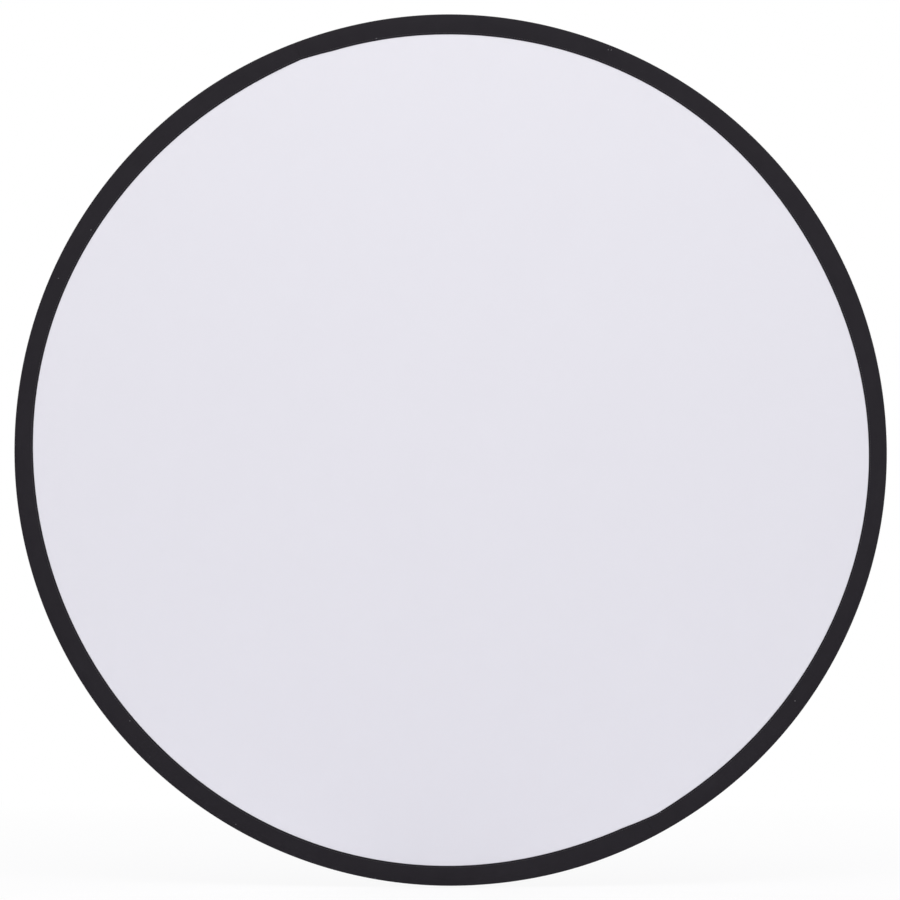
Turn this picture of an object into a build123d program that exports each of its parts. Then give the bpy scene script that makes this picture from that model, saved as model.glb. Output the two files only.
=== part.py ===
from build123d import *
import os
from math import cos, degrees, radians, sin

# Collapsible reflector disc: a sprung diffuser disc inside a zipped, two-faced cloth cover.
# Everything is drawn lying on its front face, seen from behind: z rises from the mid-plane of the
# hoop towards the back. stand_up() then turns it upright, facing -Y. Angles run anticlockwise as
# drawn, which is clockwise from the upright disc's right-hand side, seen from the front.

# Overall
disc_diameter = 1100.0
full_turn = 360.0
fabric_gap = 0.6
running_gap = 0.3

# Cover cloth and binding
ply_thickness = 0.2
binding_thickness = 0.6
fixed_binding_width = 24.5
zip_binding_width = 24.5
binding_fold_radius = 2.2
binding_fold_flats = 2
binding_crease = 0.8
binding_slack = 0.5
zip_leg_angle_start = 62.0
zip_leg_angle_end = 249.0

# Hoop, its splice and the diffuser's sleeve
band_width = 5.0
band_thickness = 1.0
splice_angle = 300.0
splice_end_gap = 1.0
ferrule_length = 30.0
ferrule_wall = 0.35
crimp_diameter = 1.8
crimp_depth = 0.25
crimp_end_distance = 5.0
wrap_length = 46.0
wrap_thickness = 0.12
tunnel_slack = 0.1
sleeve_thickness = 0.4
sleeve_seam_setback = 12.0
sleeve_leg_length = 13.0
sleeve_side_gap = 0.2
diffuser_thickness = 0.2
diffuser_seam_overlap = 4.0

# Zip chain
zip_setback = 13.5
tape_thickness = 0.4
tape_width = 10.2
tape_edge_gap = 0.3
tape_tuck = 15.0
coil_width = 2.05
coil_height = 1.6
coil_bevel = 0.4
coil_mesh_gap = 0.05
facing_width = 8.0
facing_thickness = 0.5

# Zip stops
stop_wall = 0.4
top_stop_length = 3.0
bottom_stop_length = 2.6
stop_end_distance = 3.0

# Zip slider
slider_length = 10.0
slider_plate = 0.8
slider_flange = 0.8
slider_throat = 1.0
slider_shoulder = 2.0
slider_corner = 0.8
slider_bevel = 0.2
post_half_width = 0.8
post_length = 3.8
bail_width = 1.6
bail_half_length = 3.4
bail_leg = 1.1
bail_thickness = 0.9
bail_corner = 1.2

# Zip pull
pull_bar_diameter = 1.3
pull_thickness = 1.2
pull_length = 21.0
pull_arm_width = 1.0
pull_waist_width = 3.2
pull_end_width = 5.6
pull_head_length = 1.3
pull_grip_length = 9.0
pull_grip_margin = 0.9
pull_grip_depth = 0.2
pull_hole_width = 2.2
pull_hole_length = 1.4
pull_hole_margin = 1.2

# Radii, from the edge inwards
edge_radius = disc_diameter / 2
sleeve_outer = edge_radius - binding_thickness - binding_slack
tunnel_outer = sleeve_outer - sleeve_thickness
tunnel_depth = band_thickness + 2 * (ferrule_wall + wrap_thickness + tunnel_slack)
tunnel_inner = tunnel_outer - tunnel_depth
band_radius = tunnel_outer - tunnel_depth / 2
sleeve_seam_radius = tunnel_inner - sleeve_seam_setback
sleeve_inner = sleeve_seam_radius - sleeve_leg_length
diffuser_radius = sleeve_seam_radius + diffuser_seam_overlap
panel_radius = edge_radius - binding_fold_radius - running_gap
zip_radius = edge_radius - zip_setback

# Heights, from the hoop's mid-plane outwards. The sleeve's legs run straight from their seam to the
# edge, and just clear the wrapped splice on the way.
diffuser_half = diffuser_thickness / 2
splice_half = band_width / 2 + ferrule_wall + wrap_thickness + tunnel_slack
tunnel_slope = (splice_half - diffuser_half) / sleeve_seam_setback
tunnel_half = diffuser_half + tunnel_slope * (tunnel_outer - sleeve_seam_radius)
sleeve_half = tunnel_half + sleeve_thickness
tape_inside = sleeve_half + sleeve_side_gap
tape_outside = tape_inside + tape_thickness
inner_ply_outside = tape_outside + ply_thickness
panel_outside = inner_ply_outside + ply_thickness
coil_top = tape_outside + coil_height

# Slider heights and half-widths, with the parted coils on each side of the post
channel_floor = tape_inside - running_gap
channel_roof = coil_top + running_gap
slider_bottom = channel_floor - slider_plate
slider_top = channel_roof + slider_plate
flange_foot = tape_outside + running_gap
coil_far = coil_mesh_gap + coil_width
coil_spread = post_half_width + running_gap - coil_mesh_gap
channel_tail_half = coil_far + running_gap
channel_nose_half = coil_far + coil_spread + running_gap
slider_tail_half = channel_tail_half + slider_flange
slider_nose_half = channel_nose_half + slider_flange
pivot_height = slider_top + running_gap + pull_bar_diameter / 2
bail_underside = pivot_height + pull_bar_diameter / 2 + running_gap

# Cloth kept clear of the slider's path
panel_cut_radius = zip_radius - slider_nose_half - fabric_gap
zip_leg_radius = zip_radius + slider_nose_half + fabric_gap


def arc_angle(length):
    """The angle, in degrees, that a length along the zip takes."""
    return degrees(length / zip_radius)


# Places along the zip
top_stop_start = zip_leg_angle_start + arc_angle(stop_end_distance)
top_stop_end = top_stop_start + arc_angle(top_stop_length)
slider_angle = top_stop_end + arc_angle(running_gap + slider_length / 2)
bottom_stop_end = zip_leg_angle_end - arc_angle(stop_end_distance)
bottom_stop_start = bottom_stop_end - arc_angle(bottom_stop_length)


def stand_up(part):
    return Rot(-90, 0, 0) * part


def save(part, name):
    export_step(stand_up(part), f"parts/{name}.step")


def rim_point(radius, angle):
    return (radius * cos(radians(angle)), radius * sin(radians(angle)))


def ring_sector(outer, inner, start, end):
    """A flat sector of a ring between two angles."""
    edges = [
        CenterArc((0, 0), outer, start, end - start),
        Line(rim_point(outer, end), rim_point(inner, end)),
        CenterArc((0, 0), inner, end, start - end),
        Line(rim_point(inner, start), rim_point(outer, start)),
    ]
    return make_face(Wire(edges))


def slab(face, low, high):
    """A face drawn at z = 0, made solid between two heights."""
    return Pos(0, 0, low) * extrude(face, high - low)


def swept(profile, start, end):
    """A profile in the XZ plane, with x as its radius, turned round the disc's axis."""
    return Rot(0, 0, start) * revolve(profile, Axis.Z, end - start)


def profile_face(points):
    return make_face(Plane.XZ * Polyline(points, close=True))


def hoop_band():
    half_gap = degrees(splice_end_gap / 2 / band_radius)
    section = Plane.XZ * Pos(band_radius, 0) * Rectangle(band_thickness, band_width)
    return swept(section, splice_angle + half_gap, splice_angle + full_turn - half_gap)


def band_tube(length, inside_clearance, wall):
    """A rectangular tube round the band, centred on its splice."""
    half = degrees(length / 2 / band_radius)
    inside = Rectangle(band_thickness + 2 * inside_clearance, band_width + 2 * inside_clearance)
    outside = offset(inside, wall, kind=Kind.INTERSECTION)
    section = Plane.XZ * Pos(band_radius, 0) * (outside - inside)
    return swept(section, splice_angle - half, splice_angle + half)


def splice_ferrule():
    """A steel sleeve with one crimp near each end, in the face away from the disc's centre."""
    tube = band_tube(ferrule_length, 0, ferrule_wall)
    face_radius = band_radius + band_thickness / 2 + ferrule_wall
    reach = degrees((ferrule_length / 2 - crimp_end_distance) / band_radius)
    for angle in (splice_angle - reach, splice_angle + reach):
        crimp = Rot(0, 0, angle) * Pos(face_radius, 0, 0) * Rot(0, 90, 0)
        tube -= crimp * Cylinder(crimp_diameter / 2, 2 * crimp_depth)
    return tube


def splice_wrap():
    return band_tube(wrap_length, ferrule_wall, wrap_thickness)


def diffuser_fabric():
    return slab(Circle(diffuser_radius), -diffuser_half, diffuser_half)


def mirrored(half):
    """A closed outline from its half above z = 0."""
    return half + [(x, -z) for x, z in reversed(half)]


def diffuser_sleeve():
    """Tape folded round the hoop, with its two legs closing on the diffuser's cloth."""
    folded = diffuser_half + sleeve_thickness
    outside = [
        (sleeve_inner, folded),
        (sleeve_seam_radius, folded),
        (sleeve_outer, sleeve_half),
    ]
    inside = [
        (sleeve_inner, diffuser_half),
        (sleeve_seam_radius, diffuser_half),
        (tunnel_outer, tunnel_half),
    ]
    section = profile_face(mirrored(outside)) - profile_face(mirrored(inside))
    return swept(section, 0, full_turn)


def fold(centre_height, start):
    """A quarter turn round the rim's edge, in flats, from an angle in the section's plane."""
    step = full_turn / 4 / binding_fold_flats
    turns = [radians(start + n * step) for n in range(binding_fold_flats + 1)]
    centre_radius = edge_radius - binding_fold_radius
    return [
        (centre_radius + binding_fold_radius * cos(t), centre_height + binding_fold_radius * sin(t))
        for t in turns
    ]


def binding(leg_inner, back_inside, back_inner, start, end):
    """Tape folded over the edge, from its front leg to a back leg that may lie lower and be shorter."""
    front = -panel_outside
    front_outside = front - binding_thickness
    back_outside = back_inside + binding_thickness
    wall = edge_radius - binding_thickness
    outside = [
        (leg_inner, front_outside),
        *fold(front_outside + binding_fold_radius, -full_turn / 4),
        *fold(back_outside - binding_fold_radius, 0),
        (back_inner, back_outside),
    ]
    inside = [
        (back_inner, back_inside),
        (wall - binding_crease, back_inside),
        (wall, back_inside - binding_crease),
        (wall, front + binding_crease),
        (wall - binding_crease, front),
        (leg_inner, front),
    ]
    return swept(profile_face(outside + inside), start, end)


def fixed_edge_binding():
    leg = edge_radius - fixed_binding_width
    return binding(leg, panel_outside, leg, zip_leg_angle_end, zip_leg_angle_start + full_turn)


def zip_edge_binding():
    leg = edge_radius - zip_binding_width
    return binding(leg, tape_outside, zip_leg_radius, zip_leg_angle_start, zip_leg_angle_end)


def back_panel():
    """A full disc on the sewn half, cut back on the other half to leave room for the zip."""
    start = zip_leg_angle_start
    end = zip_leg_angle_end
    edges = [
        CenterArc((0, 0), panel_radius, end, start + full_turn - end),
        Line(rim_point(panel_radius, start), rim_point(panel_cut_radius, start)),
        CenterArc((0, 0), panel_cut_radius, start, end - start),
        Line(rim_point(panel_cut_radius, end), rim_point(panel_radius, end)),
    ]
    return make_face(Wire(edges))


def front_silver_ply():
    return slab(Circle(panel_radius), -inner_ply_outside, -tape_outside)


def front_white_ply():
    return slab(Circle(panel_radius), -panel_outside, -inner_ply_outside)


def back_gold_ply():
    return slab(back_panel(), tape_outside, inner_ply_outside)


def back_black_ply():
    return slab(back_panel(), inner_ply_outside, panel_outside)


def zip_facing():
    inner = panel_cut_radius - facing_width
    face = ring_sector(panel_cut_radius, inner, zip_leg_angle_start, zip_leg_angle_end)
    return slab(face, panel_outside, panel_outside + facing_thickness)


def strand(side, near, far, far_spread, start, end):
    """One side of the chain, between two distances from its centre line.

    It closes on the other side from the slider's throat on, and parts round the post before it.
    """
    parted = slider_angle - arc_angle(slider_shoulder)
    closed = slider_angle + arc_angle(slider_throat)
    near_parted = zip_radius + side * (near + coil_spread)
    near_closed = zip_radius + side * near
    far_parted = zip_radius + side * (far + far_spread)
    far_closed = zip_radius + side * far
    edges = [
        CenterArc((0, 0), near_parted, start, parted - start),
        Line(rim_point(near_parted, parted), rim_point(near_closed, closed)),
        CenterArc((0, 0), near_closed, closed, end - closed),
        Line(rim_point(near_closed, end), rim_point(far_closed, end)),
        CenterArc((0, 0), far_closed, end, closed - end),
        Line(rim_point(far_closed, closed), rim_point(far_parted, parted)),
        CenterArc((0, 0), far_parted, parted, start - parted),
        Line(rim_point(far_parted, start), rim_point(near_parted, start)),
    ]
    return make_face(Wire(edges))


def zip_tape(side):
    start = zip_leg_angle_start - arc_angle(tape_tuck)
    end = zip_leg_angle_end + arc_angle(tape_tuck)
    face = strand(side, tape_edge_gap, tape_edge_gap + tape_width, 0, start, end)
    return slab(face, tape_inside, tape_outside)


def zip_coil(side):
    """The coil as one closed bead of its outer size, bevelled along its crown."""
    face = strand(side, coil_mesh_gap, coil_far, coil_spread, top_stop_start, bottom_stop_end)
    bead = slab(face, tape_outside, coil_top)
    crown = bead.faces().sort_by(Axis.Z)[-1]
    return chamfer(crown.edges().filter_by(GeomType.CIRCLE), coil_bevel)


def stop_clip(near, far, start, end):
    """A clip bent over what lies between two radii, its feet on the tape."""
    shell = ring_sector(far + stop_wall, near - stop_wall, start, end)
    hollow = ring_sector(far, near, start, end)
    return slab(shell, tape_outside, coil_top + stop_wall) - slab(hollow, tape_outside, coil_top)


def zip_top_stops():
    near = coil_mesh_gap + coil_spread
    far = coil_far + coil_spread
    outer = stop_clip(zip_radius + near, zip_radius + far, top_stop_start, top_stop_end)
    inner = stop_clip(zip_radius - far, zip_radius - near, top_stop_start, top_stop_end)
    return Compound([outer, inner])


def zip_bottom_stop():
    low = zip_radius - coil_far
    high = zip_radius + coil_far
    return stop_clip(low, high, bottom_stop_start, bottom_stop_end)


def slider_outline(tail_half, nose_half, length):
    """The slider seen from above, with its nose at +x: narrow over the shut chain, wide at the nose."""
    half = [
        (-length / 2, tail_half),
        (-slider_throat, tail_half),
        (slider_shoulder, nose_half),
        (length / 2, nose_half),
    ]
    return Polyline(mirrored(half), close=True)


def slider_body():
    """Two plates held apart by the dividing post, with flanges that hold the coils in."""
    outline = make_face(slider_outline(slider_tail_half, slider_nose_half, slider_length))
    outline = fillet(outline.vertices(), slider_corner)
    channel = make_face(slider_outline(channel_tail_half, channel_nose_half, 2 * slider_length))
    body = slab(outline, slider_bottom, slider_top)
    rims = body.faces().filter_by(Axis.Z).edges()
    body = chamfer(rims, slider_bevel)
    body -= slab(channel, channel_floor, channel_roof)
    body -= slab(Rectangle(slider_length * 2, slider_length * 2), channel_floor, flange_foot)
    return body


def slider_post():
    """The dividing post: pointed towards the shut chain, blunt at the nose."""
    nose = slider_length / 2 - slider_corner
    tip = nose - post_length
    blunt = nose - post_half_width
    outline = Polyline((blunt, -post_half_width), (tip, 0), (blunt, post_half_width))
    outline += RadiusArc((blunt, post_half_width), (blunt, -post_half_width), post_half_width)
    return slab(make_face(outline), channel_floor, channel_roof)


def slider_bail():
    """The arch that the pull hangs on, standing along the slider's middle."""
    length = 2 * bail_half_length
    top = bail_underside + bail_thickness
    block = Pos(0, (slider_top + top) / 2) * Rectangle(length, top - slider_top)
    block = fillet(block.vertices().group_by(Axis.Y)[-1], bail_corner)
    opening = Pos(0, (slider_top + bail_underside) / 2) * Rectangle(
        length - 2 * bail_leg, bail_underside - slider_top
    )
    opening = fillet(opening.vertices().group_by(Axis.Y)[-1], bail_corner / 2)
    return extrude(Plane.XZ * (block - opening), bail_width / 2, both=True)


def zip_slider():
    return at_slider(slider_body() + slider_post() + slider_bail())


def pull_window_end():
    """How far from the pivot the pull's window reaches, past the bail at every angle."""
    corner_height = bail_underside + bail_thickness - pivot_height
    reach = (bail_half_length**2 + corner_height**2) ** 0.5
    return reach + running_gap


def pull_blank():
    """The pull seen from above, hanging towards the tail: head, waist and grip."""
    head_half = bail_width / 2 + running_gap + pull_arm_width
    window = pull_window_end()
    head_end = window + pull_head_length
    grip_start = pull_length - pull_grip_length
    half = [
        (0, head_half),
        (-head_end, head_half),
        (-head_end - pull_head_length, pull_waist_width / 2),
        (-grip_start, pull_waist_width / 2),
        (-grip_start - pull_head_length, pull_end_width / 2),
        (-pull_length, pull_end_width / 2),
    ]
    blank = make_face(Polyline(mirrored(half), close=True))
    tip = blank.vertices().group_by(Axis.X)[0]
    blank = fillet(tip, pull_end_width / 3)
    opening = bail_width + 2 * running_gap
    return blank - Pos(-window / 2, 0) * Rectangle(window, opening)


def zip_pull():
    """A tab with a window round the bail, closed by a round bar that turns under it."""
    tab = slab(pull_blank(), -pull_thickness / 2, pull_thickness / 2)
    bar_length = bail_width + 2 * (running_gap + pull_arm_width)
    tab += Rot(90, 0, 0) * Cylinder(pull_bar_diameter / 2, bar_length)
    hole_x = -pull_length + pull_hole_margin + pull_hole_length / 2
    hole = SlotOverall(pull_hole_width, pull_hole_length, rotation=90)
    tab -= Pos(hole_x, 0) * slab(hole, -pull_thickness, pull_thickness)
    return at_slider(Pos(0, 0, pivot_height) * (tab - pull_recess()))


def pull_recess():
    """The shallow panel that thumb and finger find, on the outer face."""
    start = pull_length - pull_grip_length + 2 * pull_grip_margin
    end = pull_length - pull_hole_margin - pull_hole_length - pull_grip_margin
    width = pull_end_width - 2 * pull_grip_margin
    panel = Pos(-(start + end) / 2, 0) * RectangleRounded(end - start, width, pull_grip_margin)
    top = pull_thickness / 2
    return slab(panel, top - pull_grip_depth, top + pull_grip_depth)


def at_slider(part):
    """Carries a piece drawn along x to the slider's place, its nose towards the zip's shut end."""
    radial = Vector(*rim_point(1, slider_angle))
    nose = Vector(radial.Y, -radial.X)
    return Plane(origin=radial * zip_radius, x_dir=nose, z_dir=(0, 0, 1)).location * part


os.makedirs("parts", exist_ok=True)
save(hoop_band(), "hoop_band")
save(splice_ferrule(), "splice_ferrule")
save(splice_wrap(), "splice_wrap")
save(diffuser_fabric(), "diffuser_fabric")
save(diffuser_sleeve(), "diffuser_sleeve")
save(front_white_ply(), "front_white_ply")
save(front_silver_ply(), "front_silver_ply")
save(back_black_ply(), "back_black_ply")
save(back_gold_ply(), "back_gold_ply")
save(fixed_edge_binding(), "fixed_edge_binding")
save(zip_edge_binding(), "zip_edge_binding")
save(zip_facing(), "zip_facing")
save(zip_tape(1), "zip_tape_outer")
save(zip_tape(-1), "zip_tape_inner")
save(zip_coil(1), "zip_coil_outer")
save(zip_coil(-1), "zip_coil_inner")
save(zip_top_stops(), "zip_top_stops")
save(zip_bottom_stop(), "zip_bottom_stop")
save(zip_slider(), "zip_slider")
save(zip_pull(), "zip_pull")

slider_travel = bottom_stop_start - arc_angle(running_gap + slider_length / 2) - slider_angle
print("slider angle", slider_angle, "travel", slider_travel)
print("pivot", rim_point(zip_radius, slider_angle), pivot_height)
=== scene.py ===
from math import degrees, pi, radians, tau

import bmesh
import bpy
import numpy as np
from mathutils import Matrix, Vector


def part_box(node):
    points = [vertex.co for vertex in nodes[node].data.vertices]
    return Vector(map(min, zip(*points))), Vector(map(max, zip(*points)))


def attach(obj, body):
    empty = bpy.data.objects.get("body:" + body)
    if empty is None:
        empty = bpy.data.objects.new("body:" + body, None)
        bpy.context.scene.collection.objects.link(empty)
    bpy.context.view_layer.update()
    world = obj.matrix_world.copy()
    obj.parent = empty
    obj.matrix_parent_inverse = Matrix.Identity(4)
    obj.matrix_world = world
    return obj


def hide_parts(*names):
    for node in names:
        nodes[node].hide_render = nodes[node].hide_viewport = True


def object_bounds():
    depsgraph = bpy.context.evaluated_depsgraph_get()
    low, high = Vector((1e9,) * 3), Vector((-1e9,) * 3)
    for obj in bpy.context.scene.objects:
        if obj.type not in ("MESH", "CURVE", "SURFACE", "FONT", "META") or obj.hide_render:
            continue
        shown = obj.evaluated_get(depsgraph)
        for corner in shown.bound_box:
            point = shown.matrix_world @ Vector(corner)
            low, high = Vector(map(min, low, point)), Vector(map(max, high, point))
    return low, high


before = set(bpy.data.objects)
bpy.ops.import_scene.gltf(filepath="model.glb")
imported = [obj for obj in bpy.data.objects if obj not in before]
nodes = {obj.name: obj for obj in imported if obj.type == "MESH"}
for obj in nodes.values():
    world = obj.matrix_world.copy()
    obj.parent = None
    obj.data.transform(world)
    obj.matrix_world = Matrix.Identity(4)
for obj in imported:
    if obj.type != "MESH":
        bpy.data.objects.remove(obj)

# A collapsible reflector disc, standing on edge with its white face looking along -Y. Lengths are
# in metres. Angles are in degrees round the disc's axis, clockwise from its right-hand side as its
# white face is seen. Heights are along +Y, out of the disc's back.

mm = 0.001
full_turn = 360.0
half_turn = full_turn / 2
cad_low, cad_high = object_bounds()


# ---------------------------------------------------------------- sizes taken from the CAD frame

def heights(node):
    low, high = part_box(node)
    return low.y, high.y


def radii(node):
    """A node's least and greatest distance from the disc's axis."""
    points = np.array([v.co for v in nodes[node].data.vertices])
    distance = np.hypot(points[:, 0], points[:, 2])
    return distance.min(), distance.max()


leg_inner_radius, edge_radius = radii("fixed_edge_binding")
facing_inner_radius, cut_panel_radius = radii("zip_facing")
facing_width = cut_panel_radius - facing_inner_radius
panel_radius = radii("front_white_ply")[1]
zip_tape_outer_radius = radii("zip_tape_outer")[1]
coil_inner_radius = radii("zip_coil_inner")[0]
coil_outer_radius = radii("zip_coil_outer")[1]
zip_radius = (coil_inner_radius + coil_outer_radius) / 2
diffuser_radius = radii("diffuser_fabric")[1]
sleeve_inner_radius, sleeve_outer_radius = radii("diffuser_sleeve")

front_outside, back_outside = heights("fixed_edge_binding")
zip_back_outside = heights("zip_edge_binding")[1]
white_outside = heights("front_white_ply")[0]
silver_outside = heights("front_silver_ply")[0]
gold_inside, gold_outside = heights("back_gold_ply")
black_outside = heights("back_black_ply")[1]
tape_inside, tape_outside = heights("zip_tape_outer")
coil_top = heights("zip_coil_outer")[1]
facing_foot, facing_top = heights("zip_facing")
diffuser_front, diffuser_back = heights("diffuser_fabric")
sleeve_back = heights("diffuser_sleeve")[1]

# Where the zip half of the binding starts and ends
mouth_start = 62.0
mouth_end = 249.0

# Cloth panels: their relief's depths, and how far it reaches in from a sewn edge
cloth_thickness = 0.14 * mm
front_slack, front_slack_reach = 0.24 * mm, 50 * mm
front_gather, front_gather_fade = 0.09 * mm, 14 * mm
back_slack_depth, back_slack_reach = 0.5 * mm, 60 * mm
ripple_depth, ripple_count = 0.45 * mm, 3.2
back_gather, back_gather_fade = 0.12 * mm, 25 * mm
seam_flat = 14 * mm
sewn_fold_depth, zip_fold_extra = 1.1 * mm, 1.2 * mm
fold_fade = 40 * mm
gold_clearance, gold_clearance_reach = 0.45 * mm, 20 * mm
cut_tuck, cut_slant = 1.0, 2.0

# Binding tape and its stitches
tape_thickness = 0.6 * mm
fold_radius = 2.2 * mm
crease = 0.8 * mm
zip_leg_radius = 541.35 * mm
stitch_inset = 2.3 * mm
stitch_pitch = 3.2 * mm
stitch_length = 2.5 * mm
stitch_sink = 0.06 * mm
thread_radius = 0.22 * mm
seam_dip, seam_dip_width = 0.18 * mm, 0.7 * mm
edge_roll, edge_roll_width = 0.12 * mm, 0.5 * mm
edge_lift, edge_lift_fade = 0.1 * mm, 7 * mm

# Facing tape over the back's cut edge: its dips lie at these shares of its width
facing_dip_lines = (0.22, 0.78)
facing_stitch_lines = (("inner", 0.22), ("outer", 0.76))
facing_dip, facing_dip_share = 0.16 * mm, 0.07
facing_roll, facing_roll_share = 0.1 * mm, 0.03
facing_wander = 0.2 * mm
facing_lap, facing_wall, facing_round = 0.3 * mm, 0.25 * mm, 0.2 * mm

# Zip
coil_pitch = 1.2 * mm
filament_radius = 0.27 * mm
coil_spread = 1.05 * mm
coil_mesh_overlap = 0.35 * mm
head_swell = 0.22
tape_edge_gap = 0.3 * mm
tape_tuck = 15 * mm
tape_step = 2.4 * mm
throat, shoulder = 1 * mm, 2 * mm
coil_seam_share = 0.6
coil_seam_radius = 0.14 * mm
coil_seam_dip = 0.35 * mm
bar_tack_width = 13 * mm
bar_tack_stitch = 2.4 * mm
bar_tack_count = 26
bar_tack_inset = 2.2 * mm
stop_wall, stop_corner = 0.4 * mm, 0.45 * mm
stop_pinch, stop_crimp = 0.35, 0.1

# Sleeve round the hoop
sleeve_thickness = 0.4 * mm
sleeve_leg = 13 * mm
sleeve_step = 6 * mm
sleeve_press = 0.1 * mm


# ---------------------------------------------------------------- shapes

def place(radius, angle, height):
    """Points in the frame, from distances to the axis, angles round it and heights."""
    radius, angle, height = np.broadcast_arrays(radius, np.radians(angle), height)
    return np.stack([radius * np.cos(angle), height, -radius * np.sin(angle)], -1)


def arc_angle(length, radius):
    return degrees(length / radius)


def quads(rows, columns, ring=False, loop=False):
    """Quads between a grid's points, numbered by row. ring closes the rows, loop the columns."""
    i, j = np.meshgrid(
        np.arange(rows if ring else rows - 1),
        np.arange(columns if loop else columns - 1),
        indexing="ij",
    )
    here, below, beside = i * columns, (i + 1) % rows * columns, (j + 1) % columns
    return np.stack([here + j, below + j, below + beside, here + beside], -1).reshape(-1, 4)


def tube_ends(rows, columns):
    """The first and the last outline of a tube, as faces."""
    last = (rows - 1) * columns
    return [list(range(columns)), list(range(last, last + columns))]


def make_piece(name, points, faces, material, body="disc", slot=None, replaces=()):
    """A smooth mesh in the frame, its faces turned outwards, that rides on a CAD body."""
    mesh = bpy.data.meshes.new(name)
    mesh.from_pydata(points.reshape(-1, 3).tolist(), [], faces)
    work = bmesh.new()
    work.from_mesh(mesh)
    bmesh.ops.recalc_face_normals(work, faces=work.faces)
    work.to_mesh(mesh)
    work.free()
    mesh.polygons.foreach_set("use_smooth", np.ones(len(mesh.polygons), bool))
    mesh.materials.append(material)
    piece = bpy.data.objects.new(name, mesh)
    bpy.context.scene.collection.objects.link(piece)
    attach(piece, body)
    if replaces:
        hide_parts(*replaces)
    return piece


def sweep(name, points, material, ring=False, **facts):
    """A tube through closed outlines, one for each step along. It is capped unless it is a ring."""
    rows, columns = points.shape[:2]
    faces = quads(rows, columns, ring, loop=True).tolist()
    if not ring:
        faces += tube_ends(rows, columns)
    return make_piece(name, points, faces, material, **facts)


def steps_between(start, end, radius, step):
    """Angles from start to end, about one step of arc apart."""
    count = max(2, round(radians(end - start) * radius / step))
    return np.linspace(start, end, count + 1)


def disc_grid(count):
    """A square grid carried onto the unit disc, evenly spread: each point's radius and angle."""
    line = np.linspace(-1, 1, count + 1)
    a, b = np.meshgrid(line, line, indexing="ij")
    wide = abs(a) > abs(b)
    major, minor = np.where(wide, a, b), np.where(wide, b, a)
    share = np.divide(minor, major, out=np.zeros_like(minor), where=major != 0)
    turn = np.where(wide, share * pi / 4, pi / 2 - share * pi / 4)
    return abs(major), np.degrees(turn) + np.where(major < 0, half_turn, 0)


def turn_from(angle, middle):
    """How far an angle lies past another, from minus to plus half a turn."""
    return (angle - middle + half_turn) % full_turn - half_turn


def ramp(held, reach):
    """From 0 at a sewn edge to 1 from a reach inside it."""
    return np.clip(held / reach, 0, 1)


# ---------------------------------------------------------------- how sewn edges wander

def front_edge(angle):
    """The front leg's inner edge: it wanders a little, and draws in just before each zip end.

    Each wave has its count round the rim, its size in mm and its phase. Each end has its place, its
    depth in mm and the degrees in which the tape is back on its line.
    """
    waves = ((2, 1.5, 48), (4, 1.2, 49), (3, 0.5, 82), (6, 0.4, 24), (7, 0.4, -18))
    ends = ((mouth_start - 1.5, 2.7, 5.0), (mouth_end, 2.6, 4.5))
    narrow_middle, narrow_reach, offset, draw_reach = 70, 12, 0.3, 5
    wander = sum(size * np.cos(np.radians(count * angle - phase)) for count, size, phase in waves)
    wander = wander - offset - np.exp(-(((angle % full_turn - narrow_middle) / narrow_reach) ** 2))
    for mouth, depth, after in ends:
        past = turn_from(angle, mouth)
        before = np.exp(np.minimum(past, 0) / draw_reach)
        wander = wander + depth * np.where(past < 0, before, np.clip(1 - past / after, 0, 1))
    return leg_inner_radius + wander * mm


def outer_edge(angle):
    """The rim's edge: the cover stands off the hoop where it is slack, and lies on it between."""
    waves = ((2, 0.85, 66), (3, 0.4, 77), (11, 0.12, 90))
    offset, least = 0.3, -0.4
    slack = sum(size * np.cos(np.radians(count * angle - phase)) for count, size, phase in waves)
    return edge_radius + np.maximum(slack + offset, least) * mm


def pucker(angle, seed):
    """Uneven gathers along a sewn edge, from -1 to 1."""
    waves = ((89, 0.4), (131, 0.35), (197, 0.25))
    return sum(share * np.sin(np.radians(k * angle + 77 * seed * k)) for k, share in waves)


# ---------------------------------------------------------------- materials

def add(tree, kind, inputs=None, **settings):
    """A new node, its inputs linked where a socket is given and set where a value is."""
    node = tree.nodes.new("ShaderNode" + kind)
    for key, value in settings.items():
        setattr(node, key, value)
    for key, value in (inputs or {}).items():
        socket = node.inputs[key]
        if isinstance(value, bpy.types.NodeSocket):
            tree.links.new(value, socket)
        else:
            socket.default_value = value
    return node


def maths(tree, operation, *values, clamp=False):
    """One step of arithmetic on sockets and numbers."""
    node = add(tree, "Math", dict(enumerate(values)), operation=operation, use_clamp=clamp)
    return node.outputs[0]


def wave(tree, value, pitch):
    """A sine from 0 to 1 that repeats once in each pitch."""
    turned = maths(tree, "MULTIPLY", value, tau / pitch)
    return maths(tree, "MULTIPLY_ADD", maths(tree, "SINE", turned), 0.5, 0.5)


def place_in_cloth(tree):
    """Across and along a flat panel."""
    axes = add(tree, "SeparateXYZ", {0: add(tree, "TexCoord").outputs["Object"]})
    return axes.outputs["X"], axes.outputs["Z"]


def place_in_tape(tree):
    """Along a tape that runs round the rim, and across it over its fold."""
    axes = add(tree, "SeparateXYZ", {0: add(tree, "TexCoord").outputs["Object"]})
    x, y, z = axes.outputs
    turn = maths(tree, "ARCTAN2", z, x)
    along = maths(tree, "MULTIPLY", turn, edge_radius)
    square = maths(tree, "MULTIPLY_ADD", z, z, maths(tree, "MULTIPLY", x, x))
    across = maths(tree, "ADD", maths(tree, "SQRT", square), y)
    return along, across


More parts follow.
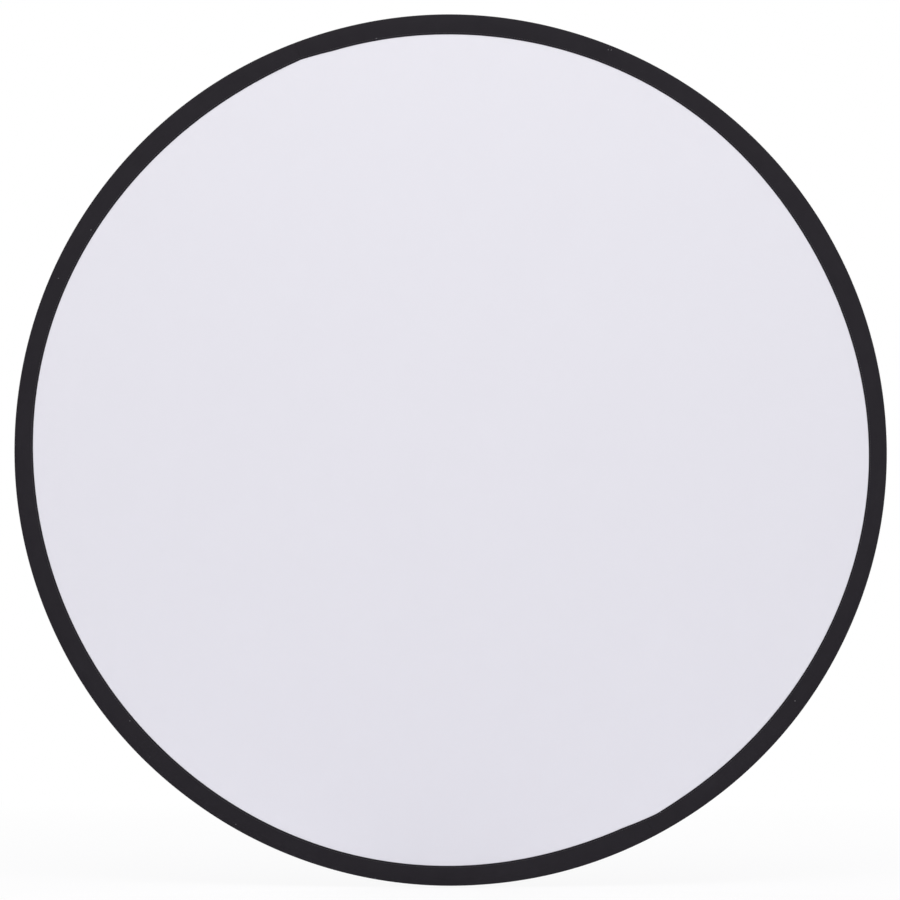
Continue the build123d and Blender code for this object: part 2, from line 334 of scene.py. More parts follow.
def plain_weave(tree, along, across, pitch):
    """The height of warp and weft passing over each other."""
    warp, weft = wave(tree, along, pitch), wave(tree, across, pitch)
    return maths(tree, "MULTIPLY_ADD", warp, weft, maths(tree, "MULTIPLY", warp, 0.3))


def twill_weave(tree, along, across, pitch):
    """The slanting ribs of a twill."""
    slant = maths(tree, "ADD", along, across)
    return maths(tree, "MULTIPLY", wave(tree, slant, pitch), wave(tree, along, pitch / 2))


def grosgrain_weave(tree, along, across, pitch):
    """The cross ribs of a narrow woven tape, with its finer warp over them."""
    ribs, warp = wave(tree, along, pitch), wave(tree, across, pitch / 2)
    return maths(tree, "MULTIPLY_ADD", warp, 0.35, ribs)


def noise(tree, scale, detail=3.0):
    """Soft noise in the object's space, from 0 to 1."""
    where = add(tree, "TexCoord").outputs["Object"]
    return add(tree, "TexNoise", {"Vector": where, "Scale": scale, "Detail": detail}).outputs["Fac"]


def between(tree, factor, low, high):
    """A factor from 0 to 1, carried to the range from low to high."""
    return maths(tree, "MULTIPLY_ADD", factor, high - low, low)


def mixed(tree, factor, first, second):
    """A colour between two, which are sockets or red, green and blue."""
    ends = [(*colour, 1) if isinstance(colour, tuple) else colour for colour in (first, second)]
    node = add(tree, "Mix", {0: factor, 6: ends[0], 7: ends[1]}, data_type="RGBA")
    return node.outputs[2]


def principled(name):
    """A new material's tree and its shader."""
    material = bpy.data.materials.new(name)
    material.use_nodes = True
    return material, material.node_tree, material.node_tree.nodes["Principled BSDF"]


def bump(tree, shader, height, distance):
    node = add(tree, "Bump", {"Height": height, "Distance": distance})
    tree.links.new(node.outputs[0], shader.inputs["Normal"])


def lint(tree, along, across):
    """1 on a few ragged specks of lint, scattered far apart."""
    spots_per_metre, widest, chosen_share = 26.0, 0.024, 0.12
    flat_place = add(tree, "CombineXYZ", {0: along, 1: across}).outputs[0]
    inputs = {"Vector": flat_place, "Scale": spots_per_metre}
    spots = add(tree, "TexVoronoi", inputs, voronoi_dimensions="2D").outputs
    ragged = between(tree, noise(tree, 1100.0, 2.0), 0.0, widest)
    near = maths(tree, "LESS_THAN", spots["Distance"], ragged)
    draw = add(tree, "SeparateColor", {0: spots["Color"]}).outputs[0]
    return maths(tree, "MULTIPLY", near, maths(tree, "LESS_THAN", draw, chosen_share))


lint_colour = (0.3, 0.3, 0.31)


def woven(name, colour, worn_colour, where, weave, pitch, depth, roughness, dusty=0.0, **sockets):
    """Woven cloth: thread relief, a slow change of tone and gloss, and pale lint if dusty."""
    material, tree, shader = principled(name)
    along, across = where(tree)
    relief = weave(tree, along, across, pitch)
    tone = noise(tree, 9.0, 4.0)
    threads = between(tree, relief, 0.0, 0.35)
    share = maths(tree, "MULTIPLY_ADD", tone, 0.5, threads, clamp=True)
    tint = mixed(tree, share, colour, worn_colour)
    if dusty:
        specks = maths(tree, "MULTIPLY", lint(tree, along, across), dusty)
        tint = mixed(tree, specks, tint, lint_colour)
    tree.links.new(tint, shader.inputs["Base Color"])
    gloss = between(tree, noise(tree, 60.0, 2.0), *roughness)
    tree.links.new(gloss, shader.inputs["Roughness"])
    for key, value in sockets.items():
        shader.inputs[key].default_value = value
    bump(tree, shader, relief, depth)
    return material


def metal(name, colour, worn_colour, roughness, metallic, grain):
    """Metal with fine grain and slight handling marks."""
    material, tree, shader = principled(name)
    marks = noise(tree, 900.0, 5.0)
    shade = maths(tree, "POWER", noise(tree, 220.0, 4.0), 2.0)
    tree.links.new(mixed(tree, shade, colour, worn_colour), shader.inputs["Base Color"])
    tree.links.new(between(tree, marks, *roughness), shader.inputs["Roughness"])
    shader.inputs["Metallic"].default_value = metallic
    bump(tree, shader, marks, grain)
    return material


white_satin = woven(
    "white_coated_nylon", (0.770, 0.776, 0.815), (0.751, 0.755, 0.795), place_in_cloth, plain_weave,
    0.5 * mm, 0.02 * mm, (0.5, 0.6), **{"Specular IOR Level": 0.3, "Sheen Weight": 0.05},
)
black_taffeta = woven(
    "black_nylon_taffeta", (0.007, 0.0068, 0.008), (0.014, 0.0133, 0.0155), place_in_cloth,
    plain_weave, 0.5 * mm, 0.02 * mm, (0.3, 0.38), **{"Specular IOR Level": 0.3},
)
silver_lame = woven(
    "silver_metallised_cloth", (0.74, 0.75, 0.77), (0.62, 0.63, 0.66), place_in_cloth, plain_weave,
    0.8 * mm, 0.06 * mm, (0.25, 0.4), **{"Metallic": 1.0},
)
gold_lame = woven(
    "gold_metallised_cloth", (0.72, 0.50, 0.18), (0.55, 0.37, 0.12), place_in_cloth, plain_weave,
    0.8 * mm, 0.06 * mm, (0.25, 0.4), **{"Metallic": 1.0},
)
diffuser_nylon = woven(
    "translucent_nylon", (0.88, 0.88, 0.88), (0.82, 0.82, 0.83), place_in_cloth, plain_weave,
    0.5 * mm, 0.03 * mm, (0.5, 0.6), **{"Transmission Weight": 0.35},
)
binding_tape = woven(
    "black_binding_tape", (0.0082, 0.0068, 0.0098), (0.017, 0.0148, 0.0195), place_in_tape,
    grosgrain_weave, 0.9 * mm, 0.12 * mm, (0.65, 0.8), 0.8,
    **{"Specular IOR Level": 0.17, "Sheen Weight": 0.05},
)
zip_webbing = woven(
    "black_zip_tape", (0.0085, 0.0078, 0.0095), (0.019, 0.0175, 0.021), place_in_tape, twill_weave,
    0.8 * mm, 0.1 * mm, (0.6, 0.75), **{"Specular IOR Level": 0.3, "Sheen Weight": 0.05},
)
sleeve_webbing = woven(
    "black_sleeve_tape", (0.014, 0.014, 0.016), (0.027, 0.026, 0.03), place_in_tape, twill_weave,
    1.0 * mm, 0.1 * mm, (0.65, 0.8), **{"Specular IOR Level": 0.3},
)
thread = woven(
    "black_thread", (0.015, 0.014, 0.017), (0.04, 0.038, 0.044), place_in_tape, twill_weave,
    0.35 * mm, 0.05 * mm, (0.45, 0.6), **{"Sheen Weight": 0.1},
)
wrap_cotton = woven(
    "cotton_cloth_tape", (0.75, 0.74, 0.70), (0.62, 0.60, 0.55), place_in_tape, plain_weave,
    0.6 * mm, 0.08 * mm, (0.75, 0.9), **{"Sheen Weight": 0.1},
)
coil_nylon = metal(
    "black_nylon_coil", (0.02, 0.02, 0.022), (0.045, 0.045, 0.05), (0.28, 0.42), 0.0, 0.01 * mm
)


def enamel():
    """Black enamel over zinc, polished thin along its edges by wear."""
    material, tree, shader = principled("black_enamel")
    edge = add(tree, "Attribute", attribute_name="worn_edge").outputs["Fac"]
    patchy = maths(tree, "GREATER_THAN", noise(tree, 700.0, 4.0), 0.52)
    worn = maths(tree, "MULTIPLY", maths(tree, "MULTIPLY", edge, patchy), 0.75)
    film = mixed(tree, noise(tree, 300.0), (0.012, 0.012, 0.013), (0.03, 0.03, 0.032))
    tree.links.new(mixed(tree, worn, film, (0.34, 0.33, 0.31)), shader.inputs["Base Color"])
    tree.links.new(worn, shader.inputs["Metallic"])
    gloss = between(tree, noise(tree, 1500.0, 2.0), 0.2, 0.34)
    tree.links.new(gloss, shader.inputs["Roughness"])
    bump(tree, shader, noise(tree, 1200.0, 3.0), 0.012 * mm)
    return material


zip_enamel = enamel()
blued_steel = metal(
    "blued_spring_steel", (0.34, 0.36, 0.40), (0.5, 0.52, 0.55), (0.25, 0.4), 1.0, 0.01 * mm
)
zinc_plate = metal(
    "zinc_plated_steel", (0.58, 0.59, 0.60), (0.7, 0.71, 0.72), (0.3, 0.5), 1.0, 0.02 * mm
)


# ---------------------------------------------------------------- cloth panels

def panel(name, count, outline, height, thickness, inward, relief, material, **facts):
    """A taut sheet of cloth. Its relief sinks from its outer face towards the disc's mid-plane."""
    share, angle = disc_grid(count)
    radius = share * outline(angle)
    surface = height + inward * relief(radius, angle)
    outer = place(radius, angle, surface)
    inner = place(radius, angle, surface + inward * thickness)
    line = count + 1
    faces = quads(line, line)
    shift = line * line
    number = np.arange(shift).reshape(line, line)
    border = np.concatenate([number[0, :-1], number[:-1, -1], number[-1, :0:-1], number[:0:-1, 0]])
    beside = np.roll(border, -1)
    rim = np.stack([border, beside, beside + shift, border + shift], -1)
    every = np.concatenate([faces, faces + shift, rim]).tolist()
    return make_piece(name, np.stack([outer, inner]), every, material, **facts)


def full_disc(angle):
    return panel_radius + 0 * angle


def core_disc(angle):
    return diffuser_radius + 0 * angle


def cut_disc(angle):
    """The back panel's outline: drawn in along the zip, and full on the sewn half."""
    starts = [mouth_start - cut_tuck - cut_slant, mouth_start - cut_tuck]
    ends = [mouth_end + cut_tuck, mouth_end + cut_tuck + cut_slant]
    sizes = [panel_radius, cut_panel_radius, cut_panel_radius, panel_radius]
    return np.interp(angle % full_turn, starts + ends, sizes)


def slackness(radius, angle, seed):
    """A slow rise and fall over a face, from 0 to 1."""
    x, z = radius * np.cos(np.radians(angle)), radius * np.sin(np.radians(angle))
    slopes = np.sin(7.1 * x + 4.3 * z + seed) + np.sin(5.2 * z - 6.4 * x + 2 * seed)
    return 0.5 + slopes / 4


def front_relief(radius, angle):
    """The white face is drawn tight: slow slackness, and small gathers along its binding."""
    held = np.maximum(front_edge(angle) - radius, 0)
    gathers = front_gather * (1 + pucker(angle, 1)) * np.exp(-held / front_gather_fade)
    slow = front_slack * slackness(radius, angle, 1)
    return slow * ramp(held, front_slack_reach) + gathers


def drag(angle):
    """Broader folds that the stiff zip drags into the back, from 0 to 1."""
    waves = ((17, 0.2), (29, 0.35), (47, 0.25), (71, 0.2))
    return 0.5 + 0.5 * sum(share * np.sin(np.radians(k * angle + 40 * k)) for k, share in waves)


def back_held(radius, angle):
    """How far inside the back's sewn edge a point lies."""
    return np.maximum(facing_inner_radius - radius, 0)


def back_folds(radius, angle):
    """Folds that start at the back's sewn edge, deeper along the zip, and fade out inwards."""
    held = back_held(radius, angle)
    off_middle = abs(turn_from(angle, (mouth_start + mouth_end) / 2))
    zip_share = np.clip(((mouth_end - mouth_start) / 2 - off_middle) / 10 + 0.5, 0, 1)
    depth = sewn_fold_depth + zip_fold_extra * zip_share
    fade = fold_fade * (1 + drag(2 * angle + 50))
    return depth * drag(angle) * ramp(held, seam_flat) * np.exp(-held / fade)


def back_slack(radius, angle):
    """The black face's own slackness: a slow one, and a shallower one of shorter reach."""
    slow = back_slack_depth * slackness(radius, angle, 2)
    return slow + ripple_depth * slackness(ripple_count * radius, angle, 5)


def back_relief(radius, angle):
    """The black face is slacker: its folds, its slackness, and gathers along the seam."""
    held = back_held(radius, angle)
    near_edge = ramp(held, seam_flat) * np.exp(-held / back_gather_fade)
    gathers = back_gather * (1 + pucker(angle, 2)) * near_edge
    slow = back_slack(radius, angle) * ramp(held, back_slack_reach)
    return slow + back_folds(radius, angle) + gathers


def gold_relief(radius, angle):
    """The gold face follows the black one, and hangs clear of it away from the seam."""
    clear = gold_clearance * ramp(back_held(radius, angle), gold_clearance_reach)
    return back_folds(radius, angle) + clear + back_slack(radius, angle)


def flat(radius, angle):
    return 0 * radius


white = panel(
    "white_cloth", 200, full_disc, white_outside, cloth_thickness, 1, front_relief, white_satin,
    slot="white_cloth", replaces=["front_white_ply"],
)
silver = panel(
    "silver_cloth", 100, full_disc, silver_outside, cloth_thickness, 1, front_relief, silver_lame,
    slot="silver_cloth", replaces=["front_silver_ply"],
)
black = panel(
    "black_cloth", 200, cut_disc, black_outside, cloth_thickness, -1, back_relief, black_taffeta,
    slot="black_cloth", replaces=["back_black_ply"],
)
gold = panel(
    "gold_cloth", 100, cut_disc, gold_outside, cloth_thickness, -1, gold_relief, gold_lame,
    slot="gold_cloth", replaces=["back_gold_ply"],
)
diffuser = panel(
    "diffuser_cloth", 100, core_disc, diffuser_back, diffuser_back - diffuser_front, -1, flat,
    diffuser_nylon, slot="diffuser_cloth", replaces=["diffuser_fabric"],
)


# ---------------------------------------------------------------- binding

def stitch_dip(angle, radius):
    """From 0 to 1 along a sewn tape, which dips once at each stitch."""
    return 0.5 + 0.5 * np.cos(np.radians(angle) * radius * tau / stitch_pitch)


def binding(name, start, end, back_height, back_edge, replaced):
    """Tape folded over the rim's edge and sewn down, sunk along its stitches."""
    angle = steps_between(start, end, edge_radius, stitch_pitch / 2)[:, None]
    rim, leg, back_leg = outer_edge(angle), front_edge(angle), back_edge(angle)
    dip = 0.5 + 0.5 * stitch_dip(angle, leg_inner_radius)
    nose = tape_thickness / 2

    def leg_points(inner, height, side, seed):
        """Points over one leg's outer face, from its inner edge to the fold."""
        across = np.array([0.25, 0.6, 1.2, 1.9, 2.3, 2.8, 3.6, 5.5, 9.0, 14.0]) * mm
        across = np.minimum(across, 0.95 * (rim - fold_radius - inner))
        sunk = seam_dip * dip * np.exp(-(((across - stitch_inset) / seam_dip_width) ** 2))
        rolled = edge_roll * np.exp(-((across / edge_roll_width) ** 2))
        lift = edge_lift * pucker(angle, seed) * np.exp(-across / edge_lift_fade)
        return inner + across, height + side * (lift - sunk - rolled)

    def fold_points(height, side):
        """Points round one quarter of the fold, from its leg to the rim's edge."""
        turn = np.radians(np.linspace(0, 90, 7))[None, 1:]
        radius = rim - fold_radius * (1 - np.sin(turn))
        return radius, height - side * fold_radius * (1 - np.cos(turn)) + 0 * radius

    front_r, front_h = leg_points(leg, front_outside, -1, 3)
    back_r, back_h = leg_points(back_leg, back_height, 1, 4)
    fold_front_r, fold_front_h = fold_points(front_outside, -1)
    fold_back_r, fold_back_h = fold_points(back_height, 1)
    wall = rim - tape_thickness
    front_inside = front_outside + tape_thickness + 0 * angle
    back_inside = back_height - tape_thickness + 0 * angle
    radius = np.concatenate([
        leg, front_r, fold_front_r, fold_back_r[:, ::-1], back_r[:, ::-1], back_leg,
        back_leg + nose, wall - crease, wall, wall, wall - crease, leg + nose,
    ], 1)
    height = np.concatenate([
        front_inside - nose, front_h, fold_front_h, fold_back_h[:, ::-1], back_h[:, ::-1],
        back_inside + nose, back_inside, back_inside, back_inside - crease,
        front_inside + crease, front_inside, front_inside,
    ], 1)
    points = place(radius, angle, height)
    return sweep(name, points, binding_tape, slot="binding_tape", replaces=[replaced])


def sewn_back_edge(angle):
    return leg_inner_radius + 0.6 * mm * np.cos(np.radians(3 * angle + 20))


def zip_back_edge(angle):
    return zip_leg_radius + 0.15 * mm * (1 + np.cos(np.radians(9 * angle)))


sewn_binding = binding(
    "sewn_binding", mouth_end, mouth_start + full_turn, back_outside, sewn_back_edge,
    "fixed_edge_binding",
)
zip_binding = binding(
    "zip_side_binding", mouth_start, mouth_end, zip_back_outside, zip_back_edge, "zip_edge_binding"
)


# ---------------------------------------------------------------- stitches

def stitch_shape(length, radius):
    """One stitch along x: rings of thread that thin out and dive at both ends."""
    sides = 6
    along = np.array([-0.5, -0.36, 0.0, 0.36, 0.5]) * length
    size = np.array([0.35, 0.85, 1.0, 0.85, 0.35]) * radius
    rise = -0.9 * radius * (2 * along / length) ** 4
    turn = np.arange(sides) * tau / sides
    x = np.repeat(along, sides)
    y = (size[:, None] * np.cos(turn)).ravel()
    z = (size[:, None] * np.sin(turn) + rise[:, None]).ravel()
    faces = quads(len(along), sides, loop=True).tolist() + tube_ends(len(along), sides)
    return np.stack([x, y, z], -1), faces


def stitches(name, radius, angle, height, side, length=stitch_length):
    """Stitches at those places, lying along the rim."""
    shape, faces = stitch_shape(length, thread_radius)
    along, across, up = shape.T
    radius, angle = radius[:, None], angle[:, None]
    points = place(radius + across, angle + np.degrees(along / radius), height + side * up)
    firsts = range(0, len(shape) * len(points), len(shape))
    every = [[first + v for v in face] for first in firsts for face in faces]
    return make_piece(name, points, every, thread, slot="binding_tape")


def stitch_row(name, line, inset, start, end, height, side):
    """A row of stitches along a sewn edge."""
    angle = steps_between(start, end, leg_inner_radius, stitch_pitch)
    angle = (angle[:-1] + angle[1:]) / 2
    return stitches(name, line(angle) + inset, angle, height, side)


front_row = stitch_row(
    "front_binding_stitches", front_edge, stitch_inset, mouth_end, mouth_end + full_turn,
    front_outside + stitch_sink, -1,
)
sewn_row = stitch_row(
    "back_binding_stitches", sewn_back_edge, stitch_inset, mouth_end, mouth_start + full_turn,
    back_outside - stitch_sink, 1,
)
zip_row = stitch_row(
    "zip_binding_stitches", zip_back_edge, stitch_inset, mouth_start, mouth_end,
    zip_back_outside - stitch_sink, 1,
)


# ---------------------------------------------------------------- zip

def facing_edge(angle):
    """The facing's inner edge."""
    return facing_inner_radius + facing_wander * (1 + pucker(angle, 5))


def facing():
    """A narrow tape folded over the back panel's cut edge."""
    angle = steps_between(mouth_start, mouth_end, cut_panel_radius, stitch_pitch / 2)[:, None]
    ones = np.ones_like(angle)
    dip = 0.5 + 0.5 * stitch_dip(angle, cut_panel_radius)
    inner = facing_edge(angle)
    share = np.array([0.02, 0.06, 0.15, 0.22, 0.32, 0.5, 0.68, 0.78, 0.86, 0.95])
    from_line = [(share - line) / facing_dip_share for line in facing_dip_lines]
    near_line = sum(np.exp(-(offset**2)) for offset in from_line)
    rolled = facing_roll * np.exp(-share / facing_roll_share)
    top = facing_top - facing_dip * dip * near_line - rolled
    edge = (cut_panel_radius + facing_lap) * ones
    foot = gold_inside * ones
    width = cut_panel_radius - inner
    radius = np.concatenate([inner, inner + width * share, edge, edge, edge - facing_wall], 1)
    shoulder_height = (facing_top - facing_round) * ones
    height = np.concatenate([facing_foot * ones, top, shoulder_height, foot, foot], 1)
    return sweep(
        "zip_facing_tape", place(radius, angle, height), binding_tape,
        slot="binding_tape", replaces=["zip_facing"],
    )


def spread(angle):
    """How far a strand stands off the zip's line: apart up to the slider, shut from it on."""
    shut = slider_angle + arc_angle(throat, zip_radius)
    parted = slider_angle - arc_angle(shoulder, zip_radius)
    return coil_spread * np.clip((shut - angle) / (shut - parted), 0, 1)


def zip_side_tape(name, side, node):
    """One woven side of the zip, with its selvage beside the coil."""
    tuck = arc_angle(tape_tuck, zip_radius)
    angle = steps_between(mouth_start - tuck, mouth_end + tuck, zip_radius, tape_step)[:, None]
    near = tape_edge_gap + spread(angle)
    far = zip_tape_outer_radius - zip_radius + 0 * angle
    across = np.array([0, 0.03, 0.3, 0.6, 0.97, 1])
    drop = np.array([0.12, 0, 0.02, 0.02, 0, 0.12]) * mm
    out = near + (far - near) * across
    radius = zip_radius + side * np.concatenate([out, out[:, ::-1]], 1)
    height = np.concatenate([tape_outside - drop + 0 * out, tape_inside + drop[::-1] + 0 * out], 1)
    points = place(radius, angle, height)
    return sweep(name, points, zip_webbing, slot="zip_tape", replaces=[node])


def zip_side_coil(name, side, node):
    """One strand: a flattened helix of nylon, with a wider head where it meets the other strand."""
    steps, sides = 8, 5
    length = radians(coil_end - coil_start) * zip_radius
    turns = int(length / coil_pitch) - 1
    turn = np.arange(turns * steps + 1) / steps
    phase = tau * turn
    shift = coil_pitch * (0.75 + 0.25 * side)
    angle = coil_start + np.degrees((turn * coil_pitch + shift) / zip_radius)
    near = -coil_mesh_overlap / 2 + filament_radius
    far = coil_outer_radius - zip_radius - coil_spread - filament_radius
    low, high = tape_outside + filament_radius, coil_top - filament_radius
    across_half, height_half = (far - near) / 2, (high - low) / 2
    across = (near + far) / 2 + across_half * np.cos(phase) + spread(angle)
    height = (low + high) / 2 + height_half * np.sin(phase)
    line = place(zip_radius + side * across, angle, height)
    tangent = np.gradient(line, axis=0)
    tangent /= np.linalg.norm(tangent, axis=1, keepdims=True)
    radial = place(1.0, angle, 0.0) * side
    up = np.array([0.0, 1.0, 0.0])
    outwards, upwards = np.cos(phase) * height_half, np.sin(phase) * across_half
    normal = radial * outwards[:, None] + up * upwards[:, None]
    normal -= tangent * (normal * tangent).sum(1, keepdims=True)
    normal /= np.linalg.norm(normal, axis=1, keepdims=True)
    binormal = np.cross(tangent, normal)
    head = 1 + head_swell * np.exp(-((1 + np.cos(phase)) / 0.25) ** 2)
    ring = (np.arange(sides) * tau / sides)[:, None]
    offset = normal[:, None] * np.cos(ring) + binormal[:, None] * np.sin(ring)
    points = line[:, None] + filament_radius * head[:, None, None] * offset
    return sweep(name, points, coil_nylon, slot="zip_coil", replaces=[node])


def coil_seam(name, side):
    """The thread that sews one strand to its tape: it runs over every turn of the coil."""
    steps, sides = 3, 5
    count = int(radians(coil_end - coil_start) * zip_radius / coil_pitch) * steps
    turn = np.arange(count + 1) / steps
    angle = coil_start + np.degrees(turn * coil_pitch / zip_radius)
    across = coil_seam_share * (coil_outer_radius - zip_radius - coil_spread) + spread(angle)
    ring = np.arange(sides) * tau / sides
    radius = (zip_radius + side * across)[:, None] + coil_seam_radius * np.cos(ring)
    lie = coil_top - coil_seam_dip * (np.arange(count + 1) % steps == 0)
    height = lie[:, None] + coil_seam_radius * np.sin(ring)
    return sweep(name, place(radius, angle[:, None], height), thread, slot="zip_tape")


def node_angles(node):
    """The angles that a node on the zip spans."""
    points = np.array([v.co for v in nodes[node].data.vertices])
    angle = np.degrees(np.arctan2(-points[:, 2], points[:, 0])) % full_turn
    return angle.min(), angle.max()


coil_start, coil_end = node_angles("zip_coil_outer")
slider_low, slider_high = node_angles("zip_slider")
slider_angle = (slider_low + slider_high) / 2
facing_tape = facing()
zip_side_tape("zip_tape_outer_side", 1, "zip_tape_outer")
zip_side_tape("zip_tape_inner_side", -1, "zip_tape_inner")
zip_side_coil("zip_coil_outer_strand", 1, "zip_coil_outer")
zip_side_coil("zip_coil_inner_strand", -1, "zip_coil_inner")
coil_seam("zip_seam_outer", 1)
coil_seam("zip_seam_inner", -1)
facing_rows = [
    stitch_row(
        f"facing_stitches_{name}", facing_edge, share * facing_width, mouth_start, mouth_end,
        facing_top - stitch_sink, 1,
    )
    for name, share in facing_stitch_lines
]


def bar_tack(name, angle):
    """A dense bar of stitches across the end of the zip."""
    half = bar_tack_width / 2
    radius = np.linspace(zip_radius - half, zip_radius + half, bar_tack_count)
    angles = np.full(bar_tack_count, angle)
    return stitches(name, radius, angles, back_outside - stitch_sink, 1, bar_tack_stitch)


tack_inset = arc_angle(bar_tack_inset, zip_radius)
tacks = [
    bar_tack("bar_tack_start", mouth_start - tack_inset),
    bar_tack("bar_tack_end", mouth_end + tack_inset),
]


# ---------------------------------------------------------------- core

def sleeve():
    """Tape folded round the hoop and sewn to the diffuser's cloth on both sides."""
    angle = steps_between(0, full_turn, edge_radius, sleeve_step)[:-1, None]
    cloth, folded = diffuser_back, diffuser_back + sleeve_thickness
    seam = sleeve_inner_radius + sleeve_leg
    outer = [
        (sleeve_inner_radius, folded), (seam, folded - sleeve_press),
        (sleeve_outer_radius, sleeve_back),
    ]
    inner = [
        (sleeve_inner_radius, cloth), (seam, cloth),
        (sleeve_outer_radius - sleeve_thickness, sleeve_back - sleeve_thickness),
    ]
    outside, inside = (half + [(r, -h) for r, h in reversed(half)] for half in (outer, inner))
    radius, height = np.array(outside + inside[::-1]).T
    return sweep(
        "hoop_sleeve", place(radius, angle, height), sleeve_webbing, ring=True,
        slot="sleeve_tape", replaces=["diffuser_sleeve"],
    )


hoop_sleeve = sleeve()


def repaint(node, material):
    data = nodes[node].data
    data.materials.clear()
    data.materials.append(material)


repaint("hoop_band", blued_steel)
repaint("splice_ferrule", zinc_plate)
repaint("splice_wrap", wrap_cotton)


# ---------------------------------------------------------------- zip hardware

def stop_clip(name, lines, start, end, node):
    """Clips pressed round the coil: an arch on each line, with rounded shoulders and ends."""
    share = np.sin(np.radians(np.linspace(-90, 90, 15)))[:, None]
    angle = (start + end) / 2 + share * (end - start) / 2
    rounded = stop_pinch * (1 - np.sqrt(1 - share**4))
    pinch = (rounded + stop_crimp * np.exp(-((share / 0.2) ** 2))) * mm
    turn = np.radians(np.linspace(0, 90, 7))[None]
    feet, under = tape_outside + 0 * pinch, coil_top + 0 * pinch
    rise = coil_top + stop_wall - pinch - stop_corner * (1 - np.sin(turn))
    height = np.concatenate([feet, rise, rise[:, ::-1], feet, feet, under, under, feet], 1)
    shapes, faces = [], []
    for near, far in lines:
        half = (far - near) / 2 + stop_wall - pinch
        side = half - stop_corner * (1 - np.cos(turn))
        inner = half - stop_wall
        outside = [half, side, -side[:, ::-1], -half]
        across = np.concatenate(outside + [-inner, -inner, inner, inner], 1)
        first = sum(len(shape) for shape in shapes)
        rows, columns = across.shape
        shapes.append(place((near + far) / 2 + across, angle, height).reshape(-1, 3))
        for face in quads(rows, columns, loop=True).tolist() + tube_ends(rows, columns):
            faces.append([first + v for v in face])
    points = np.concatenate(shapes)
    clip = make_piece(name, points, faces, zip_enamel, slot="zip_metal", replaces=[node])
    clip.data.set_sharp_from_angle(angle=radians(40))


def casting(name, node, body, width):
    """A CAD node's shape with its edges rounded over, marked where the enamel wears through."""
    work = bmesh.new()
    work.from_mesh(nodes[node].data)
    bmesh.ops.remove_doubles(work, verts=work.verts, dist=0.001 * mm)
    bmesh.ops.dissolve_limit(
        work, angle_limit=radians(1), use_dissolve_boundaries=False, verts=work.verts,
        edges=work.edges,
    )
    sharp = [e for e in work.edges if e.is_manifold and e.calc_face_angle(0) > radians(28)]
    rounded = bmesh.ops.bevel(
        work, geom=sharp, offset=width, offset_type="OFFSET", segments=3, profile=0.5,
        affect="EDGES", clamp_overlap=True,
    )
    work.faces.index_update()
    edges = {face.index for face in rounded["faces"] if face.is_valid}
    points = np.array([v.co for v in work.verts])
    faces = [[v.index for v in face.verts] for face in work.faces]
    worn = np.array([index in edges for index in range(len(faces))], np.float32)
    work.free()
    piece = make_piece(
        name, points, faces, zip_enamel, body=body, slot="zip_metal", replaces=[node]
    )
    mark = piece.data.attributes.new("worn_edge", "FLOAT", "FACE")
    mark.data.foreach_set("value", worn)
    piece.data.set_sharp_from_angle(angle=radians(35))


casting("slider_casting", "zip_slider", "slider", 0.12 * mm)
casting("pull_tab", "zip_pull", "pull", 0.16 * mm)
strand_far = coil_outer_radius - zip_radius
strand_closed = strand_far - coil_spread
top_lines = [
    (zip_radius + coil_spread, zip_radius + strand_far),
    (zip_radius - strand_far, zip_radius - coil_spread),
]
bottom_lines = [(zip_radius - strand_closed, zip_radius + strand_closed)]
stop_clip("top_stop_clips", top_lines, *node_angles("zip_top_stops"), "zip_top_stops")
stop_clip("bottom_stop_clip", bottom_lines, *node_angles("zip_bottom_stop"), "zip_bottom_stop")


# ---------------------------------------------------------------- studio

floor_height = cad_low.z - 1.5 * mm
floor_reach = 30.0
floor_fade_reach = 2.2
floor_least_white = 0.88
view_width = 1.1357
camera_distance = 9.0
camera_right, camera_up = -0.0007, 0.0005
sensor = 36.0
pure_white = (1, 1, 1)


def seen_directly(tree):
    """1 on a ray that shows the background itself: straight, in a reflection or through glass."""
    path = add(tree, "LightPath").outputs
    seen = maths(tree, "ADD", path["Is Camera Ray"], path["Is Glossy Ray"])
    return maths(tree, "ADD", seen, path["Is Transmission Ray"], clamp=True)


def light_world(behind, ahead, tint):
    """A white backdrop. The light that it gives grows from the disc's back to its white face."""
    world = bpy.data.worlds.new("studio")
    bpy.context.scene.world = world
    world.use_nodes = True
    tree = world.node_tree
    tree.nodes.clear()
    y = add(tree, "SeparateXYZ", {0: add(tree, "TexCoord").outputs["Generated"]}).outputs["Y"]
    facing_white = maths(tree, "MULTIPLY_ADD", y, -0.5, 0.5, clamp=True)
    strength = between(tree, facing_white, behind, ahead)
    lit = add(tree, "Background", {"Color": (*tint, 1), "Strength": strength})
    seen = add(tree, "Background", {"Color": (*pure_white, 1), "Strength": 1.0})
    mix = add(tree, "MixShader", {0: seen_directly(tree), 1: lit.outputs[0], 2: seen.outputs[0]})
    add(tree, "OutputWorld", {"Surface": mix.outputs[0]})


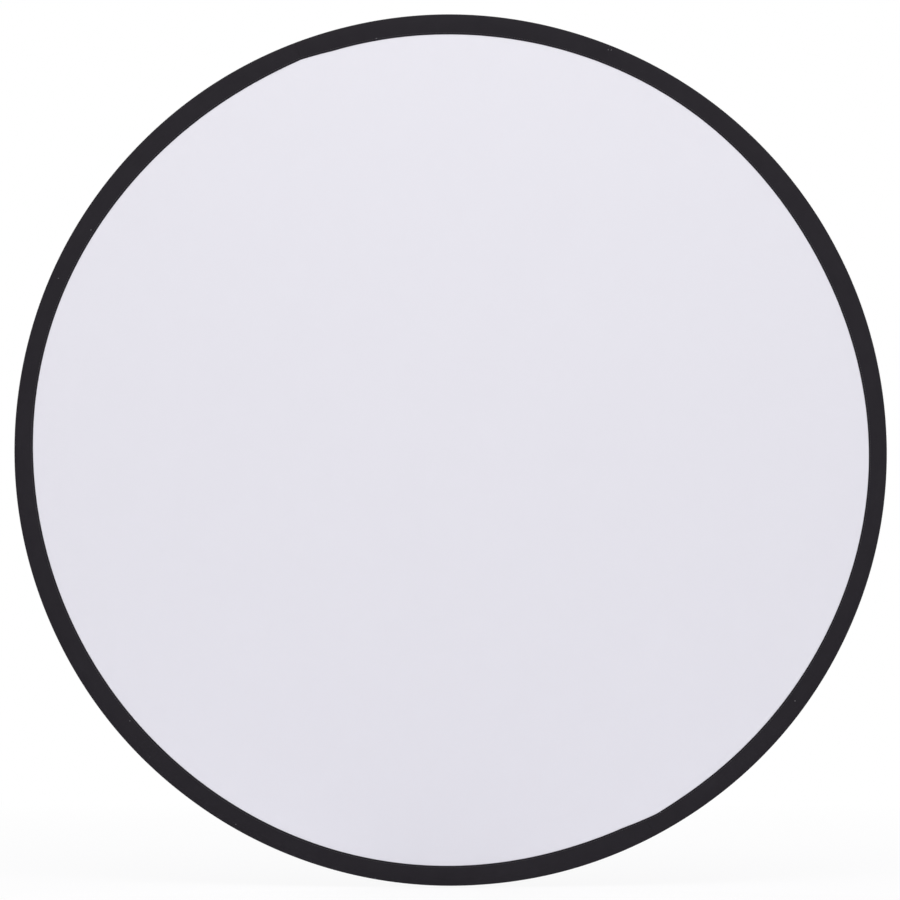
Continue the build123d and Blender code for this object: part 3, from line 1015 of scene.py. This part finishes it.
def make_floor():
    """A pale floor that keeps a soft shadow and fades into the white background."""
    material = bpy.data.materials.new("pale_floor")
    material.use_nodes = True
    tree = material.node_tree
    tree.nodes.clear()
    paper = add(tree, "BsdfDiffuse", {"Color": (0.78, 0.77, 0.81, 1)})
    glow = add(tree, "Emission", {"Color": (*pure_white, 1), "Strength": 1.0})
    x, y, _ = add(tree, "SeparateXYZ", {0: add(tree, "TexCoord").outputs["Object"]}).outputs
    square = maths(tree, "MULTIPLY_ADD", x, x, maths(tree, "MULTIPLY", y, y))
    away = maths(tree, "DIVIDE", maths(tree, "SQRT", square), floor_fade_reach)
    more_white = 1 - floor_least_white
    fade = maths(tree, "MULTIPLY_ADD", away, more_white, floor_least_white, clamp=True)
    white_share = maths(tree, "MULTIPLY", fade, seen_directly(tree))
    mix = add(tree, "MixShader", {0: white_share, 1: paper.outputs[0], 2: glow.outputs[0]})
    add(tree, "OutputMaterial", {"Surface": mix.outputs[0]})
    mesh = bpy.data.meshes.new("floor")
    signs = ((-1, -1), (1, -1), (1, 1), (-1, 1))
    corners = [(floor_reach * across, floor_reach * along, 0) for across, along in signs]
    mesh.from_pydata(corners, [], [(0, 1, 2, 3)])
    mesh.materials.append(material)
    floor = bpy.data.objects.new("floor", mesh)
    floor.location.z = floor_height
    bpy.context.scene.collection.objects.link(floor)


def soft_light(name, place_at, size, power, colour=pure_white, spread=180):
    """A square soft box aimed at the disc's centre."""
    data = bpy.data.lights.new(name, "AREA")
    data.shape = "SQUARE"
    data.spread = radians(spread)
    data.size, data.energy, data.color = size, power, colour
    lamp = bpy.data.objects.new(name, data)
    lamp.location = place_at
    lamp.rotation_euler = (-lamp.location).to_track_quat("-Z", "Y").to_euler()
    bpy.context.scene.collection.objects.link(lamp)


def make_camera():
    """Square on to the white face, as the photograph is taken."""
    data = bpy.data.cameras.new("camera")
    data.sensor_width = sensor
    data.lens = sensor / 2 / (view_width / 2 / (camera_distance + front_outside))
    data.clip_end = 100
    camera = bpy.data.objects.new("camera", data)
    camera.location = (camera_right, -camera_distance, camera_up)
    camera.rotation_euler = (pi / 2, 0, 0)
    bpy.context.scene.collection.objects.link(camera)
    bpy.context.scene.camera = camera


light_world(behind=0.235, ahead=0.752, tint=(0.942, 0.927, 1.0))
make_floor()
soft_light("key", (0.05, -3.2, 3.0), size=2.4, power=101, colour=(1.0, 0.98, 0.935))
soft_light("back_right", (1.9, 3.1, 0.5), size=0.9, power=8, spread=50)
soft_light("back_left", (-2.4, 2.6, 1.0), size=0.9, power=6, spread=50)
make_camera()
bpy.context.scene.view_settings.view_transform = "Standard"
